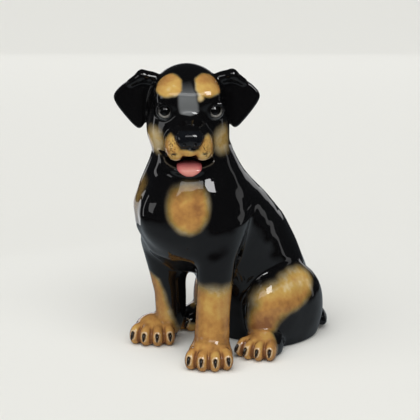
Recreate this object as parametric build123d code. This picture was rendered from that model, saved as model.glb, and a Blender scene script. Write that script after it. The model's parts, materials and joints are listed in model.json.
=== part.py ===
"""Seated puppy figurine in glazed earthenware: the hollow castings and the hand-made pieces luted onto them.

Millimetres, +Z up, the puppy's chest towards -Y and its own left side towards +X. The origin is under the
middle of the bounding box, on the surface that the figurine stands on. Every casting has the same wall, and
each cavity opens into the next, so that air and steam reach the firing vent under the seat.
"""

import os

from build123d import *

# Driving dimensions
WALL = 5.0                      # thickness of a slip-cast wall
VENT_RADIUS = 5.0               # firing vent through the seat
VENT_AT = (0, 52)
BODY_REACH = 400.0              # larger than the figurine, for half spaces
FROM_BASE = (Align.CENTER, Align.CENTER, Align.MIN)

HEAD_AT = (-4.5, -53.5, 248)    # middle of the skull
HEAD_YAW = 48.5                 # the head is turned to the puppy's left
CHEST_YAW = 28                  # and the chest follows it part of the way

# Horizontal sections, bottom to top: height, centre x, centre y, half width, half depth
TRUNK = [
    (0, 0, 45, 44, 44),
    (12, 0, 45, 52, 54),
    (38, 0, 43, 54, 60),
    (68, 0, 34, 52, 66),
    (98, 0, 17, 50, 68),
    (128, 0, -4, 50, 70),
    (155, 0, -22, 49, 60),
    (176, 0, -36, 45, 50),
    (192, 0, -44, 40, 43),
    (204, 0, -48, 34, 36),
]
CHEST = [
    (86, 0, -44, 30, 20),
    (104, 0, -52, 44, 35),
    (130, 0, -57, 54, 42),
    (154, -1, -57, 56, 42),
    (178, -2, -54, 49, 40),
    (200, -3, -50, 39, 38),
    (222, -3, -49, 35, 36),
    (236, -3, -49, 32, 33),
]

# Forelegs: height, centre x, centre y, half width, half depth
LEFT_FORELEG = [
    (136, 40, -48, 19, 24),
    (108, 38, -54, 19, 22),
    (75, 37, -56, 17, 18),
    (48, 38, -60, 17, 17),
    (27, 40, -63, 18, 18),
    (10, 42, -66, 14, 14),
]
RIGHT_FORELEG = [
    (136, -42, -50, 22, 27),
    (108, -39, -53, 24, 26),
    (78, -38, -51, 19, 21),
    (52, -38, -47, 16, 16.5),
    (28, -38, -46, 15, 15),
    (10, -41, -50, 13, 13),
]

FOREPAW_SIZE = (24, 27, 27)     # half width, half length, height
HIND_PAW_SIZE = (21, 29, 25)
PAW_PROFILE = [(0, 0.86), (0.2, 0.97), (0.45, 1), (0.75, 0.84), (1, 0.4)]   # shares of height and of the rest
LEFT_FOREPAW = (46, -72, 42)    # centre x, centre y, yaw
RIGHT_FOREPAW = (-47, -61, 38)
LEFT_HIND_PAW = (61, -12, 20)
RIGHT_HIND_PAW = (-51, 4, -12)

# Thighs: the ham and the knee, each a centre and three half axes. The right leg is tucked further back.
LEFT_THIGH = (((44, 41, 30), (28, 50, 52)), ((49, 14, 38), (22, 34, 40)))
RIGHT_THIGH = (((-43, 45, 30), (26, 46, 50)), ((-42, 27, 36), (20, 25, 36)))

# Tail: centre x, y, z and radius from root to tip
TAIL = [
    (-4, 88, 24, 11),
    (10, 102, 17.5, 10),
    (28, 105, 12, 8.5),
    (43, 99, 9.5, 7),
    (53, 90, 8.5, 4.5),
]

# Places on the head, in its own frame: x to the puppy's left, -y forward, z up
SKULL = ((0, 4, 3), (40, 43, 42))
# Upright sections of the face and muzzle, back to front: y, centre z, half width, half height
MUZZLE = [
    (-4, -12, 34, 31),
    (-24, -17, 28, 25),
    (-38, -21, 23, 19),
    (-50, -22, 20, 16.5),
    (-57, -22, 14, 12),
]
NOSE = ((0, -55, -18), (12, 8, 9))
JAW = ((0, -27, -44), (22.5, 27, 9))
TONGUE = ((0, -47, -47), (12.5, 12, 3.6))
TONGUE_DROOP = 48
EYE_AT = (23, -27, 4)
EYE_RADIUS = 8.5
EAR_OUTLINE = [(30, 36), (43, 40), (54, 32), (66, 22), (72, 11), (61, -7), (48, -19), (40, -10), (35, 8)]
EAR_THICKNESS = 8.0
EAR_Y = 3.0                     # front face of the ear flap

CLAW_RADII = (2.4, 0.9)         # at the root and at the tip
CLAW_LENGTH = 7.0
CLAW_TILT = 115                 # from upright, so forwards and down
TOE_PLACES = (-0.68, -0.24, 0.24, 0.68)   # as shares of the paw's half width
TOE_SPLAY = 25                  # how far a toe at the very side of the paw would point outwards


def ellipsoid(centre, size, tilt=0, yaw=0):
    """A solid with three half axes, tilted nose-down about X and then turned about Z."""
    return Pos(*centre) * Rot(0, 0, yaw) * Rot(tilt, 0, 0) * scale(Sphere(1), by=size)


def grown(size, by):
    """The half axes of an ellipsoid whose surface lies further out, or further in if by is negative."""
    return tuple(axis + by for axis in size)


def lofted(sections, yaw=0, inset=0.0):
    """A smooth solid through horizontal ellipses, drawn in on every side by inset."""
    lowest = min(s[0] for s in sections)
    highest = max(s[0] for s in sections)
    faces = []
    for height, x, y, half_width, half_depth in sections:
        height = min(max(height, lowest + inset), highest - inset)
        ellipse = Ellipse(half_width - inset, half_depth - inset)
        faces.append(Pos(x, y, height) * Rot(0, 0, yaw) * ellipse)
    return loft(faces)


def muzzle_solid(inset=0.0):
    """The face from the cheeks to the front of the muzzle, drawn in on every side by inset."""
    faces = []
    for y, z, half_width, half_height in MUZZLE:
        y = max(y, MUZZLE[-1][0] + inset)
        ellipse = Ellipse(half_width - inset, half_height - inset)
        faces.append(Pos(0, y, z) * Rot(90, 0, 0) * ellipse)
    return loft(faces)


def cut(shape, tools):
    """Shape with each of the tools taken out of it in turn."""
    for tool in tools:
        shape = shape - tool
    return shape


def largest(shape):
    """The main body of shape, without the trimmings that a cut left loose."""
    return max(shape.solids(), key=lambda solid: solid.volume)


def above_floor(shape, floor=0.0):
    """What of shape is higher than floor."""
    return shape & Pos(0, 0, floor) * Box(BODY_REACH, BODY_REACH, BODY_REACH, align=FROM_BASE)


def mirrored(shape):
    """The same piece on the puppy's other side."""
    return mirror(shape, about=Plane.YZ)


def on_head(shape):
    """Carries a piece from the head's own frame to its place on the figurine."""
    return Pos(*HEAD_AT) * Rot(0, 0, HEAD_YAW) * shape


def on_paw(shape, place):
    """Carries a piece from a paw's own frame, toes towards -Y, to its place on the figurine."""
    x, y, yaw = place
    return Pos(x, y, 0) * Rot(0, 0, yaw) * shape


def toes(size):
    """Each toe's own frame, -y towards its tip, and its half axes."""
    half_width, half_length, height = size
    found = []
    for share in TOE_PLACES:
        forward = half_length * (0.66 - 0.42 * share * share)
        frame = Pos(half_width * share, -forward, height * 0.36) * Rot(0, 0, TOE_SPLAY * share)
        found.append((frame, (half_width * 0.27, half_length * 0.4, height * 0.4)))
    return found


def paw_solid(size, inset=0.0):
    """A paw with four toes and a flat sole, drawn in on every side by inset."""
    half_width, half_length, height = size
    sections = []
    for level, share in PAW_PROFILE:
        back = half_length * 0.12 * level
        sections.append((height * level, 0, half_length * 0.1 + back, half_width * share, half_length * 0.88 * share))
    solid = lofted(sections, inset=inset)
    if not inset:
        for frame, toe_size in toes(size):
            solid = solid + frame * scale(Sphere(1), by=toe_size)
    return above_floor(solid, inset)


def claws(size):
    """Four clay claws, one standing out of the tip of each toe."""
    pieces = []
    for frame, (_, toe_length, toe_height) in toes(size):
        root = frame * Pos(0, -toe_length * 0.85, toe_height * 0.2) * Rot(CLAW_TILT, 0, 0)
        pieces.append(root * Cone(*CLAW_RADII, CLAW_LENGTH, align=FROM_BASE))
    return pieces


def ear_solid():
    """The left ear: a rounded triangular flap, thick at the fold on top and hanging beside the head."""
    outline = Spline(*[(x, EAR_Y, z) for x, z in EAR_OUTLINE], periodic=True)
    flap = extrude(make_face(outline), amount=EAR_THICKNESS, dir=(0, 1, 0))
    return fillet(flap.edges(), EAR_THICKNESS * 0.3)


# Outer shapes, before they are hollowed and fitted to each other
trunk = lofted(TRUNK)
chest = lofted(CHEST, yaw=CHEST_YAW)
torso = trunk + chest
torso_cavity = lofted(TRUNK, inset=WALL) + lofted(CHEST, yaw=CHEST_YAW, inset=WALL)

head_outer = on_head(ellipsoid(*SKULL) + muzzle_solid())
head_cavity = on_head(ellipsoid(SKULL[0], grown(SKULL[1], -WALL)) + muzzle_solid(inset=WALL))
nose_outer = on_head(ellipsoid(*NOSE))

eyeball = Pos(*EYE_AT) * Rot(90, 0, 0) * Sphere(EYE_RADIUS)
left_eye = on_head(eyeball)
right_eye = on_head(mirrored(eyeball))
jaw_outer = on_head(ellipsoid(*JAW))
tongue_outer = on_head(ellipsoid(*TONGUE, tilt=TONGUE_DROOP))

pieces = {}

# Head
pieces["head_shell"] = cut(head_outer, [head_cavity, torso, left_eye, right_eye])
pieces["nose"] = nose_outer - head_outer
pieces["left_eye"] = left_eye
pieces["right_eye"] = right_eye
pieces["lower_jaw"] = cut(jaw_outer, [head_outer, torso])
pieces["tongue"] = cut(tongue_outer, [head_outer, jaw_outer, torso])
pieces["left_ear"] = cut(on_head(ear_solid()), [head_outer, torso])
pieces["right_ear"] = cut(on_head(mirrored(ear_solid())), [head_outer, torso])

# Hind legs
hind_paws = {"left": LEFT_HIND_PAW, "right": RIGHT_HIND_PAW}
paw_seats = []
thighs = {}
thigh_cavities = {}
for side, (ham, knee) in {"left": LEFT_THIGH, "right": RIGHT_THIGH}.items():
    thighs[side] = above_floor(ellipsoid(*ham) + ellipsoid(*knee))
    thigh_cavities[side] = above_floor(ellipsoid(ham[0], grown(ham[1], -WALL)), WALL)
for side, place in hind_paws.items():
    paw = on_paw(paw_solid(HIND_PAW_SIZE), place)
    paw_cavity = on_paw(paw_solid(HIND_PAW_SIZE, inset=WALL), place)
    paw_claws = [on_paw(claw, place) for claw in claws(HIND_PAW_SIZE)]
    pieces[side + "_thigh"] = largest(cut(thighs[side], [torso, thigh_cavities[side], paw]))
    pieces[side + "_hind_paw"] = cut(paw, [*paw_claws, paw_cavity, thigh_cavities[side]])
    paw_seats.append(paw)
    pieces[side + "_hind_claws"] = Compound([claw.solid() for claw in paw_claws])

# Forelegs
forepaws = {"left": LEFT_FOREPAW, "right": RIGHT_FOREPAW}
forelegs = {"left": LEFT_FORELEG, "right": RIGHT_FORELEG}
leg_cavities = []
for side, place in forepaws.items():
    leg = lofted(forelegs[side])
    leg_cavity = lofted(forelegs[side], inset=WALL)
    leg_cavities.append(leg_cavity)
    paw = on_paw(paw_solid(FOREPAW_SIZE), place)
    paw_cavity = on_paw(paw_solid(FOREPAW_SIZE, inset=WALL), place)
    paw_claws = [on_paw(claw, place) for claw in claws(FOREPAW_SIZE)]
    pieces[side + "_foreleg"] = cut(leg, [torso, leg_cavity, paw])
    pieces[side + "_forepaw"] = cut(paw, [*paw_claws, paw_cavity, leg_cavity])
    pieces[side + "_forepaw_claws"] = Compound([claw.solid() for claw in paw_claws])

# Tail
tail_faces = []
for i, (x, y, z, radius) in enumerate(TAIL):
    before = Vector(*TAIL[max(i - 1, 0)][:3])
    after = Vector(*TAIL[min(i + 1, len(TAIL) - 1)][:3])
    tail_faces.append(Plane(origin=(x, y, z), z_dir=after - before) * Circle(radius))
tail = above_floor(loft(tail_faces))
pieces["tail"] = cut(tail, [torso, *thighs.values()])

# The torso, open towards every cavity that joins it, with the firing vent through its seat
vent = Pos(*VENT_AT, 0) * Cylinder(VENT_RADIUS, 3 * WALL)
limb_cavities = [*leg_cavities, *thigh_cavities.values()]
pieces["torso_shell"] = cut(torso, [torso_cavity, head_cavity, vent, *limb_cavities, *paw_seats])

# The origin goes under the middle of the whole figurine
whole = Compound([solid for piece in pieces.values() for solid in piece.solids()])
box = whole.bounding_box()
middle = box.center()
to_origin = Pos(-middle.X, -middle.Y, -box.min.Z)

os.makedirs("parts", exist_ok=True)
for name, piece in pieces.items():
    export_step(to_origin * piece, "parts/" + name + ".step")
    print(name, "solids", len(piece.solids()), "volume", round(sum(s.volume for s in piece.solids())))
print("size", box.size, "shift", (-middle.X, -middle.Y))
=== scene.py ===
"""A seated black and tan puppy in glazed earthenware.

The whole skin is one smooth distance field, in the figurine's own millimetres. It is turned into a mesh and
cut along the seams where the clay pieces are luted together. Each piece is closed and replaces its CAD node.
"""

import json
import math

import bpy
import numpy as np
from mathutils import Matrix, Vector

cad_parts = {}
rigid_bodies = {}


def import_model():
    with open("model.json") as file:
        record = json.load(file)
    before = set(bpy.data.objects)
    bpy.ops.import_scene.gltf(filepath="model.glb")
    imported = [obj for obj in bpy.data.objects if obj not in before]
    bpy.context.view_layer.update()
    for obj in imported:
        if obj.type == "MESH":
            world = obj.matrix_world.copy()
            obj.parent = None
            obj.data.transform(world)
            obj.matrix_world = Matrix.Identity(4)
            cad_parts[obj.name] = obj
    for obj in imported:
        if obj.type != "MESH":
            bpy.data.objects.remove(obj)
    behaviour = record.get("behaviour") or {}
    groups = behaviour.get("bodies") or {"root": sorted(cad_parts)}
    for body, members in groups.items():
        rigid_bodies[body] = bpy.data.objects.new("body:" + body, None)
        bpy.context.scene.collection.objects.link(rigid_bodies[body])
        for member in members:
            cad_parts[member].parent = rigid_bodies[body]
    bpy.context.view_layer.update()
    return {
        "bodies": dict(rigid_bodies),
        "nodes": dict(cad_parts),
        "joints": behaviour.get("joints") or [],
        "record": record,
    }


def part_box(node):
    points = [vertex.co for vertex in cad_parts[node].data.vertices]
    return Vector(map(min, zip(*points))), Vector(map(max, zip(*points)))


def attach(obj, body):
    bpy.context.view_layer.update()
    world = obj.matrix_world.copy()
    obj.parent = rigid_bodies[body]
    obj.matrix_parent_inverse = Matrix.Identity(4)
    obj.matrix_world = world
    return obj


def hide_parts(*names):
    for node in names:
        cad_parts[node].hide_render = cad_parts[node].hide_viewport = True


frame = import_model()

# ---------------------------------------------------------------------------------------------------------
# Places. Lengths are millimetres in the figurine's own frame: chest towards -Y, its left side towards +X.
# The head's own frame has the same axes, turned with the head, and its origin is the middle of the skull.
# ---------------------------------------------------------------------------------------------------------
MM = 0.001
SKULL_IN_BODY = np.array([-4.5, -53.5, 248.0])
EYE_AT = np.array([23.0, -27.0, 4.0])
EYE_RADIUS = 8.5
EYE_OUTWARD = 12                # how far the eyes look to the sides, in degrees
EYE_LOOK = 11                   # and both of them towards the puppy's left
EYE_OPENING_AT = (1.7, 0.6)     # the middle of the opening from the eye's middle: to the left and up
CHEST_YAW = math.radians(28)


def middle(node):
    """The middle of a CAD node's box, in millimetres in the row frame."""
    low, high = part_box(node)
    return (np.array(low) + np.array(high)) / 2 / MM


EYE_LINE = middle("left_eye") - middle("right_eye")
HEAD_YAW = math.atan2(EYE_LINE[1], EYE_LINE[0])
COS_HEAD, SIN_HEAD = math.cos(HEAD_YAW), math.sin(HEAD_YAW)
HEAD_TURN = np.array([[COS_HEAD, -SIN_HEAD, 0], [SIN_HEAD, COS_HEAD, 0], [0, 0, 1]])
SKULL_IN_ROW = (middle("left_eye") + middle("right_eye")) / 2 - HEAD_TURN @ (EYE_AT * (0, 1, 1))
ROW_SHIFT = SKULL_IN_ROW - SKULL_IN_BODY

# Horizontal sections, bottom to top: height, centre x, centre y, half width, half depth
TRUNK = [
    (-20, 0, 45, 44, 46),
    (0, 0, 45, 48, 49),
    (12, 0, 45, 52, 54),
    (38, 0, 43, 54, 60),
    (68, 0, 34, 52, 66),
    (98, 0, 17, 50, 68),
    (128, 0, -4, 50, 70),
    (155, 0, -22, 49, 60),
    (176, 0, -36, 45, 50),
    (192, 0, -44, 40, 43),
    (208, 0, -48, 33, 35),
]
CHEST = [
    (80, 0, -40, 22, 14),
    (104, 0, -52, 44, 34),
    (130, 0, -57, 54, 42),
    (154, -1, -57, 56, 42),
    (178, -2, -54, 49, 40),
    (200, -3, -50, 39, 38),
    (222, -3, -49, 35, 36),
    (244, -3, -49, 32, 33),
]
BREAST = ((15.5, -72.6, 149), (46, 26, 40))
FORELEGS = {
    "left": [
        (142, 40, -47, 18, 24),
        (108, 38, -54, 19, 22),
        (75, 37, -56, 17, 18),
        (48, 38, -60, 16.5, 17),
        (27, 40, -63, 17.5, 18),
        (8, 43, -67, 16, 17),
    ],
    "right": [
        (142, -42, -49, 21, 27),
        (108, -39, -53, 24, 26),
        (78, -38, -51, 18.5, 20),
        (52, -38, -47, 16, 16.5),
        (28, -38, -46, 15.5, 16),
        (8, -41, -50, 14, 15),
    ],
}
# Paws: centre x, centre y, yaw in degrees, half width, half length, height
PAWS = {
    "left_forepaw": (46, -72, 42, 24, 27, 27),
    "right_forepaw": (-47, -61, 38, 24, 27, 27),
    "left_hind_paw": (61, -12, 20, 21, 29, 25),
    "right_hind_paw": (-51, 4, -12, 21, 29, 25),
}
TOE_SHARES = (-0.68, -0.24, 0.24, 0.68)
TOE_SPLAY = math.radians(25)
# The ham and the knee of each hind leg: centres and half axes
THIGHS = {
    "left": (((44, 41, 30), (28, 50, 52)), ((49, 14, 38), (22, 34, 40))),
    "right": (((-43, 45, 30), (26, 46, 50)), ((-42, 27, 36), (20, 25, 36))),
}
# From its root to its tip: x, y, z and radius
TAIL = [(-4, 88, 24, 11), (10, 102, 17.5, 10), (28, 105, 12, 8.5), (43, 99, 9.5, 7), (53, 90, 8.5, 4.5)]
# In the head's frame: x, z
EAR_OUTLINE = [(30, 33), (43, 37), (54, 30), (66, 22), (72, 11), (61, -7), (48, -19), (40, -10), (35, 8)]
# From its root to its tip, in the head's frame: y, z and half width
TONGUE = [
    (-26, -46.0, 9.5),
    (-36, -46.0, 11.3),
    (-44, -46.3, 12.2),
    (-49.5, -48.4, 12.2),
    (-52, -51.0, 11.0),
    (-52.4, -53.5, 8.2),
    (-51.4, -55.6, 4.0),
]
VENT_AT, VENT_RADIUS, VENT_DEPTH = (0, 52), 5.0, 18.0
# Unevenness of the hand-finished skin: height and width of its broad lumps and of its narrow ones
WAVES = (0.28, 26, 0.09, 11)


# ---------------------------------------------------------------------------------------------------------
# Distance fields. Every function takes points as three arrays and returns about how far outside they are.
# ---------------------------------------------------------------------------------------------------------
def union(a, b, blend):
    """Both shapes, with a fillet about as wide as blend where they meet."""
    share = np.clip(0.5 + 0.5 * (b - a) / blend, 0, 1)
    return b + (a - b) * share - blend * share * (1 - share)


def without(a, b, blend):
    """Shape a with b carved out of it, the rim rounded about as wide as blend."""
    return -union(-a, b, blend)


def turned(p, yaw):
    """Points in a frame turned by yaw about Z."""
    x, y, z = p
    c, s = math.cos(yaw), math.sin(yaw)
    return x * c + y * s, y * c - x * s, z


def moved(p, x, y, z=0.0):
    """Points relative to a place."""
    return p[0] - x, p[1] - y, p[2] - z


def ellipsoid(p, centre, axes, yaw=0.0, tilt=0.0):
    """An ellipsoid turned by yaw about Z and then tilted nose-down about its own X."""
    x, y, z = turned(moved(p, *centre), yaw)
    if tilt:
        c, s = math.cos(tilt), math.sin(tilt)
        y, z = y * c + z * s, z * c - y * s
    a, b, h = axes
    reach = np.sqrt((x / a) ** 2 + (y / b) ** 2 + (z / h) ** 2)
    slope = np.sqrt((x / a**2) ** 2 + (y / b**2) ** 2 + (z / h**2) ** 2)
    return reach * (reach - 1) / np.maximum(slope, 1e-4)


def bone(p, start, end, start_radius, end_radius):
    """A round rod between two points, tapering from one radius to the other."""
    along = np.subtract(end, start)
    x, y, z = moved(p, *start)
    share = np.clip((x * along[0] + y * along[1] + z * along[2]) / (along @ along), 0, 1)
    gap = np.sqrt((x - share * along[0]) ** 2 + (y - share * along[1]) ** 2 + (z - share * along[2]) ** 2)
    return gap - (start_radius + (end_radius - start_radius) * share)


def through(knots, count, rounds=0):
    """A row for each of count steps along the knots, with the corners smoothed off in rounds."""
    columns = np.array(knots, dtype=float).T
    share = np.linspace(0, len(knots) - 1, count)
    route = np.stack([np.interp(share, range(len(knots)), column) for column in columns], axis=1)
    for _ in range(rounds):
        route[1:-1] = (route[:-2] + 2 * route[1:-1] + route[2:]) / 4
    return route


def stack(p, sections, yaw=0.0, end_round=8.0, soften=9.0):
    """A smooth body through horizontal ellipses."""
    table = np.array(sorted(sections), dtype=float)
    heights = np.linspace(table[0, 0], table[-1, 0], 300)
    step = heights[1] - heights[0]
    window = np.hanning(2 * int(soften / step) + 3)
    window = window / window.sum()
    pad = len(window) // 2
    smooth = []
    for column in table.T[1:]:
        values = np.interp(heights, table[:, 0], column)
        before = 2 * values[0] - values[pad:0:-1]
        after = 2 * values[-1] - values[-2 : -pad - 2 : -1]
        padded = np.concatenate([before, values, after])
        smooth.append(np.convolve(padded, window, "valid").astype(np.float32))
    at = [np.interp(p[2], heights, column).astype(np.float32) for column in smooth]
    x, y, _ = turned((p[0] - at[0], p[1] - at[1], p[2]), yaw)
    reach = np.sqrt((x / at[2]) ** 2 + (y / at[3]) ** 2)
    slope = np.sqrt((x / at[2] ** 2) ** 2 + (y / at[3] ** 2) ** 2)
    side = reach * (reach - 1) / np.maximum(slope, 1e-4)
    end = np.maximum(heights[0] - p[2], p[2] - heights[-1])
    return -union(-side, -end, end_round)


def wobble(p, size, seed):
    """Slow, smooth variation between -1 and 1, its lumps about size across."""
    x, y, z = (axis / size * 2.0 for axis in p)
    a = np.sin(x * 1.7 + 1.3 * np.sin(y * 1.1 + seed) + seed * 2.1)
    b = np.sin(y * 1.9 + 1.2 * np.sin(z * 1.3 + seed * 1.7) + seed)
    c = np.sin(z * 1.6 + 1.4 * np.sin(x * 1.2 + seed * 0.6) + seed * 3.3)
    return (a + b + c) / 3


def outline_distance(x, z, corners):
    """Signed distance to a closed outline in the x, z plane, negative inside."""
    closest = np.full(x.shape, 1e9, dtype=np.float32)
    inside = np.zeros(x.shape, dtype=bool)
    for (ax, az), (bx, bz) in zip(corners, corners[1:] + corners[:1]):
        ex, ez = bx - ax, bz - az
        share = np.clip(((x - ax) * ex + (z - az) * ez) / (ex * ex + ez * ez), 0, 1)
        closest = np.minimum(closest, (x - ax - share * ex) ** 2 + (z - az - share * ez) ** 2)
        crosses = ((az > z) != (bz > z)) & (x < ex * (z - az) / (ez if ez else 1e-9) + ax)
        inside ^= crosses
    gap = np.sqrt(closest)
    return np.where(inside, -gap, gap)


def rounded_outline(points, steps=6):
    """The same closed outline with its corners rounded: a closed spline with a few samples per point."""
    result = []
    count = len(points)
    for i in range(count):
        a, b, c, d = (np.array(points[(i + k) % count], dtype=float) for k in range(4))
        for step in range(steps):
            t = step / steps
            bend = 2 * a - 5 * b + 4 * c - d
            twist = 3 * b - a - 3 * c + d
            value = 0.5 * (2 * b + (c - a) * t + bend * t**2 + twist * t**3)
            result.append((float(value[0]), float(value[1])))
    return result


EAR_CURVE = rounded_outline(EAR_OUTLINE)


def ear(q):
    """The left ear in the head's frame: a leaf folded over at its root, its tip hanging outwards."""
    x, y, z = q
    edge = outline_distance(x, z, EAR_CURVE)
    fold = 3.2 * np.exp(-(((x - 47) / 6.5) ** 2)) * np.clip((34 - z) / 20, 0, 1)
    centre = 7.5 - 0.0055 * (x - 52) ** 2 - fold - 0.0022 * (z - 8) ** 2
    half = 3.2 + 0.05 * np.clip(z + 20, 0, 60)
    rim = 3.0
    across = np.abs(y - centre) - half
    leaf = np.hypot(np.maximum(edge + rim, 0), np.maximum(across + rim, 0)) - rim
    leaf = leaf + np.minimum(np.maximum(edge + rim, across + rim), 0)
    inner_roll = bone(q, (31, 1, 30.5), (44, -1, 34), 5.6, 5.4)
    outer_roll = bone(q, (44, -1, 34), (55, 2, 27), 5.4, 3.6)
    return union(leaf, union(inner_roll, outer_roll, 3), 3.0)


def lid_ring(p, centre, radius, back, thickness):
    """A rounded rim round the lower half of an eye, fading towards the upper lid."""
    x, y, z = moved(p, *centre)
    around = np.hypot(x, z)
    share = np.clip(0.5 - 0.5 * z / np.maximum(around, 1e-3), 0, 1)
    return np.hypot(around - radius, y + back) - thickness * np.sqrt(share) - 0.05


def eye_rims(q, side):
    """One eye's lids, what is carved out between them, and three rims: the upper lid's and two under it."""
    centre = EYE_AT * (side, 1, 1)
    outward = math.radians(EYE_OUTWARD) * side
    local = turned(moved(q, *centre), outward)
    x, z = EYE_OPENING_AT
    lid = ellipsoid(local, (0.8 * x, 0, 0.6 * z), (10.8, 9.8, 9.5))
    opening = ellipsoid(local, (x, -9, z), (5.6, 9.5, 5.2))
    upper = bone(local, (x - 5.0, -6.0, z + 5.6), (x + 5.0, -6.0, z + 5.6), 2.4, 2.4)
    inner = lid_ring(local, (x, 0, z), 5.7, 7.4, 1.0)
    outer = lid_ring(local, (x, 0, z), 8.3, 5.2, 1.1)
    return lid, opening, (upper, inner, outer)


def mouth_gap(q):
    """The open mouth, in the head's frame."""
    both = (np.abs(q[0]), q[1], q[2])
    wide = ellipsoid(q, (0, -36, -44.5), (23.5, 22, 4.4), tilt=0.12)
    corners = bone(both, (19, -34, -42), (27, -22, -36.5), 3.2, 1.2)
    return union(union(wide, ellipsoid(q, (0, -50, -43.5), (7, 10, 4.4)), 4), corners, 3)


def head(p):
    """The head's pieces: face, nose and jaw, then what the open mouth carves out, and the two ears."""
    q = turned(moved(p, *SKULL_IN_BODY), HEAD_YAW)
    mirrored = (-q[0], q[1], q[2])
    both = (np.abs(q[0]), q[1], q[2])
    skull = ellipsoid(q, (0, 4, 3), (39.5, 43, 42))
    cheeks = ellipsoid(both, (21, -6, -21), (18, 25, 19))
    brows = ellipsoid(both, (17.5, -24, 17), (14.5, 14, 13))
    forehead = ellipsoid(q, (0, -20, 17), (26, 18.5, 15))
    muzzle = ellipsoid(q, (0, -32, -20), (19.5, 26, 17))
    bridge = bone(q, (0, -26, -8), (0, -50, -15), 13, 9.5)
    flews = ellipsoid(both, (13.0, -41, -28.5), (10.0, 15.5, 14), yaw=-0.1)
    lip = ellipsoid(q, (0, -50.5, -29.8), (10, 10.3, 6.9))
    face = union(skull, cheeks, 14)
    face = union(face, union(brows, forehead, 8), 10)
    face = union(face, muzzle, 12)
    face = union(face, bridge, 8)
    face = union(face, flews, 5)
    face = union(face, lip, 3)
    philtrum = bone(q, (0, -62, -31), (0, -60.5, -40), 0.5, 1.2)
    face = without(face, philtrum, 1.8)
    for side in (1, -1):
        lid, opening, rims = eye_rims(q, side)
        face = union(face, lid, 3.5)
        face = without(face, opening, 0.8)
        for rim in rims:
            face = union(face, rim, 0.7)
    nose = ellipsoid(q, (0, -54.5, -19.0), (12, 8.8, 8.8))
    nose = union(nose, ellipsoid(q, (0, -54.5, -16.8), (14, 7.6, 5.8)), 4)
    nose = union(nose, ellipsoid(both, (5.5, -57, -21.5), (5.6, 5, 5.5)), 3)
    nose = without(nose, ellipsoid(both, (5.2, -63.0, -23), (1.6, 2.6, 1.2), tilt=0.2), 0.8)
    jaw = ellipsoid(q, (0, -24, -50), (22, 25, 8.5), tilt=0.1)
    return face, nose, jaw, mouth_gap(q), ear(q), ear(mirrored)


def paw(p, place):
    """A paw with four toes, grooves between them and a flat sole."""
    x, y, yaw, half_width, half_length, height = place
    q = turned(moved(p, x, y), math.radians(yaw))
    middle_at = (0, half_length * 0.14, height * 0.3)
    body = ellipsoid(q, middle_at, (half_width * 0.93, half_length * 0.84, height * 0.7))
    toe_size = (half_width * 0.29, half_length * 0.44, height * 0.42)
    toes = None
    for share in TOE_SHARES:
        forward = half_length * (0.62 - 0.42 * share * share)
        centre = (half_width * share, -forward, height * 0.34)
        toe = ellipsoid(q, centre, toe_size, yaw=TOE_SPLAY * share)
        toes = toe if toes is None else union(toes, toe, 1.5)
    return union(body, toes, 4)


def tail(p):
    """A tapering tail along a smooth curve by the TAIL points."""
    route = through(TAIL, 17, rounds=3)
    shape = None
    for start, end in zip(route, route[1:]):
        piece = bone(p, start[:3], end[:3], start[3], end[3])
        shape = piece if shape is None else np.minimum(shape, piece)
    return shape


def figurine(p):
    """The whole skin's distance and, by node, the distance to each clay piece on its own."""
    parts = {}
    trunk = stack(p, TRUNK)
    chest = stack(p, CHEST, yaw=CHEST_YAW)
    torso = union(trunk, chest, 16)
    torso = union(torso, ellipsoid(p, *BREAST, yaw=HEAD_YAW), 12)
    whole = torso
    for side, (ham, knee) in THIGHS.items():
        parts[side + "_thigh"] = union(ellipsoid(p, *ham), ellipsoid(p, *knee), 10)
        whole = union(whole, parts[side + "_thigh"], 6)
    for side in FORELEGS:
        leg = stack(p, FORELEGS[side], end_round=6)
        parts[side + "_foreleg"] = leg
        whole = union(whole, leg, 13)
    for name, place in PAWS.items():
        parts[name] = paw(p, place)
        whole = union(whole, parts[name], 5)
    parts["tail"] = tail(p)
    whole = union(whole, parts["tail"], 6)
    face, nose, jaw, mouth, left_ear, right_ear = head(p)
    whole = union(whole, jaw, 7)
    whole = union(whole, face, 9)
    whole = union(whole, left_ear, 3)
    whole = union(whole, right_ear, 3)
    whole = union(whole, nose, 1.6)
    whole = without(whole, mouth, 1.5)
    parts["head_shell"], parts["nose"], parts["lower_jaw"] = face, nose, jaw
    parts["left_ear"], parts["right_ear"] = left_ear, right_ear
    parts["torso_shell"] = torso
    x, y, z = p
    calm = np.clip((235 - z) / 50, 0.3, 1)
    whole = whole + calm * (WAVES[0] * wobble(p, WAVES[1], 7.0) + WAVES[2] * wobble(p, WAVES[3], 9.0))
    vent = np.maximum(np.hypot(x - VENT_AT[0], y - VENT_AT[1]) - VENT_RADIUS, z - VENT_DEPTH)
    whole = without(whole, vent, 0.8)
    whole = -union(-whole, z, 1.6)
    return whole, parts


CHUNK = 150_000


def in_chunks(points, pick):
    """Evaluates the figurine at (N, 3) points, a chunk at a time, and keeps what pick takes from it."""
    found = []
    for start in range(0, len(points), CHUNK):
        p = tuple(points[start : start + CHUNK].T.astype(np.float32))
        found.append(pick(*figurine(p)))
    return found


def distance(points):
    """How far outside the skin each of (N, 3) points is."""
    return np.concatenate(in_chunks(points, lambda whole, parts: whole))


def gradient(points, step=0.08):
    """The outward direction of the skin at points, from central differences."""
    result = np.empty_like(points)
    for axis in range(3):
        offset = np.zeros(3)
        offset[axis] = step
        result[:, axis] = (distance(points + offset) - distance(points - offset)) / (2 * step)
    return result


# ---------------------------------------------------------------------------------------------------------
# From the field to a mesh
# ---------------------------------------------------------------------------------------------------------
FACE_STEP, PAW_STEP, BODY_STEP = 1.0, 1.15, 1.7     # the grid's steps in millimetres
BLOCK = 8                                           # grid points along each side of a block


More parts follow.
